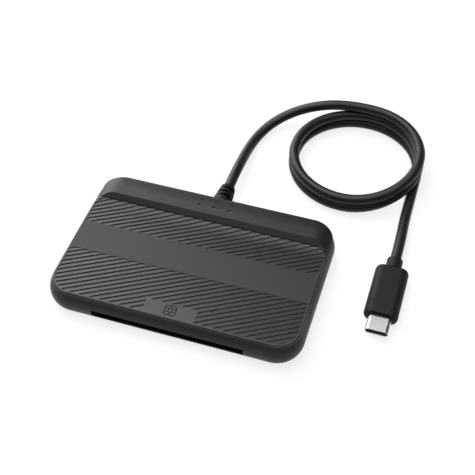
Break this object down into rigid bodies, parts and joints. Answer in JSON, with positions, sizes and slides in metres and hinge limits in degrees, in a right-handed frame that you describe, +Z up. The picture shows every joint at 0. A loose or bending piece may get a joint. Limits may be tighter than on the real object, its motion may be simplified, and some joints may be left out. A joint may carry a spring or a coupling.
{
  "type": "smart card reader",
  "caption": "Flat desktop smart card reader with a ribbed top, a card slot low in the front edge, status lights on a raised rear bar, and a coiled tethered lead ending in a small oval plug.",
  "frame": {"origin": "on the table under the middle of the case", "axes": "+X to the right along the card slot, +Y from the slot to the cable exit, +Z up"},
  "size_m": [0.1228, 0.1319, 0.0129],
  "materials": {
    "case_black": "fine matt moulded grain",
    "foot_rubber": "matt rubber",
    "screw_steel": "dark plated steel",
    "board_green": "solder mask",
    "block_black": "moulded nylon",
    "contact_gold": "gold flash",
    "chip_black": "moulded epoxy",
    "can_metal": "plated can",
    "passive_tan": "ceramic",
    "led_white": "moulded lens",
    "light_pipe_smoke": "smoked clear moulding",
    "cable_black": "satin PVC",
    "wire_cover": "wire insulation",
    "plug_black": "satin moulding",
    "plug_metal": "bright nickel",
    "insert_black": "moulded insert"
  },
  "bodies": {
    "root": {"upper_shell": "case_black", "lower_shell": "case_black", "rubber_feet": "foot_rubber", "case_screws": "screw_steel", "circuit_board": "board_green", "board_screws": "screw_steel", "contact_block": "block_black", "contact_springs": "contact_gold", "card_detect_switch": "block_black", "controller_chip": "chip_black", "clock_crystal": "can_metal", "voltage_regulator": "chip_black", "surge_protector": "chip_black", "board_passives": "passive_tan", "status_leds": "led_white", "light_pipe": "light_pipe_smoke", "strain_relief": "cable_black", "cable_wires": "wire_cover", "cable_lead": "cable_black", "cable_coil": "cable_black", "cable_tail": "cable_black", "plug_overmould": "plug_black", "plug_shell": "plug_metal", "plug_insert": "insert_black", "plug_contacts": "contact_gold"}
  },
  "joints": []
}
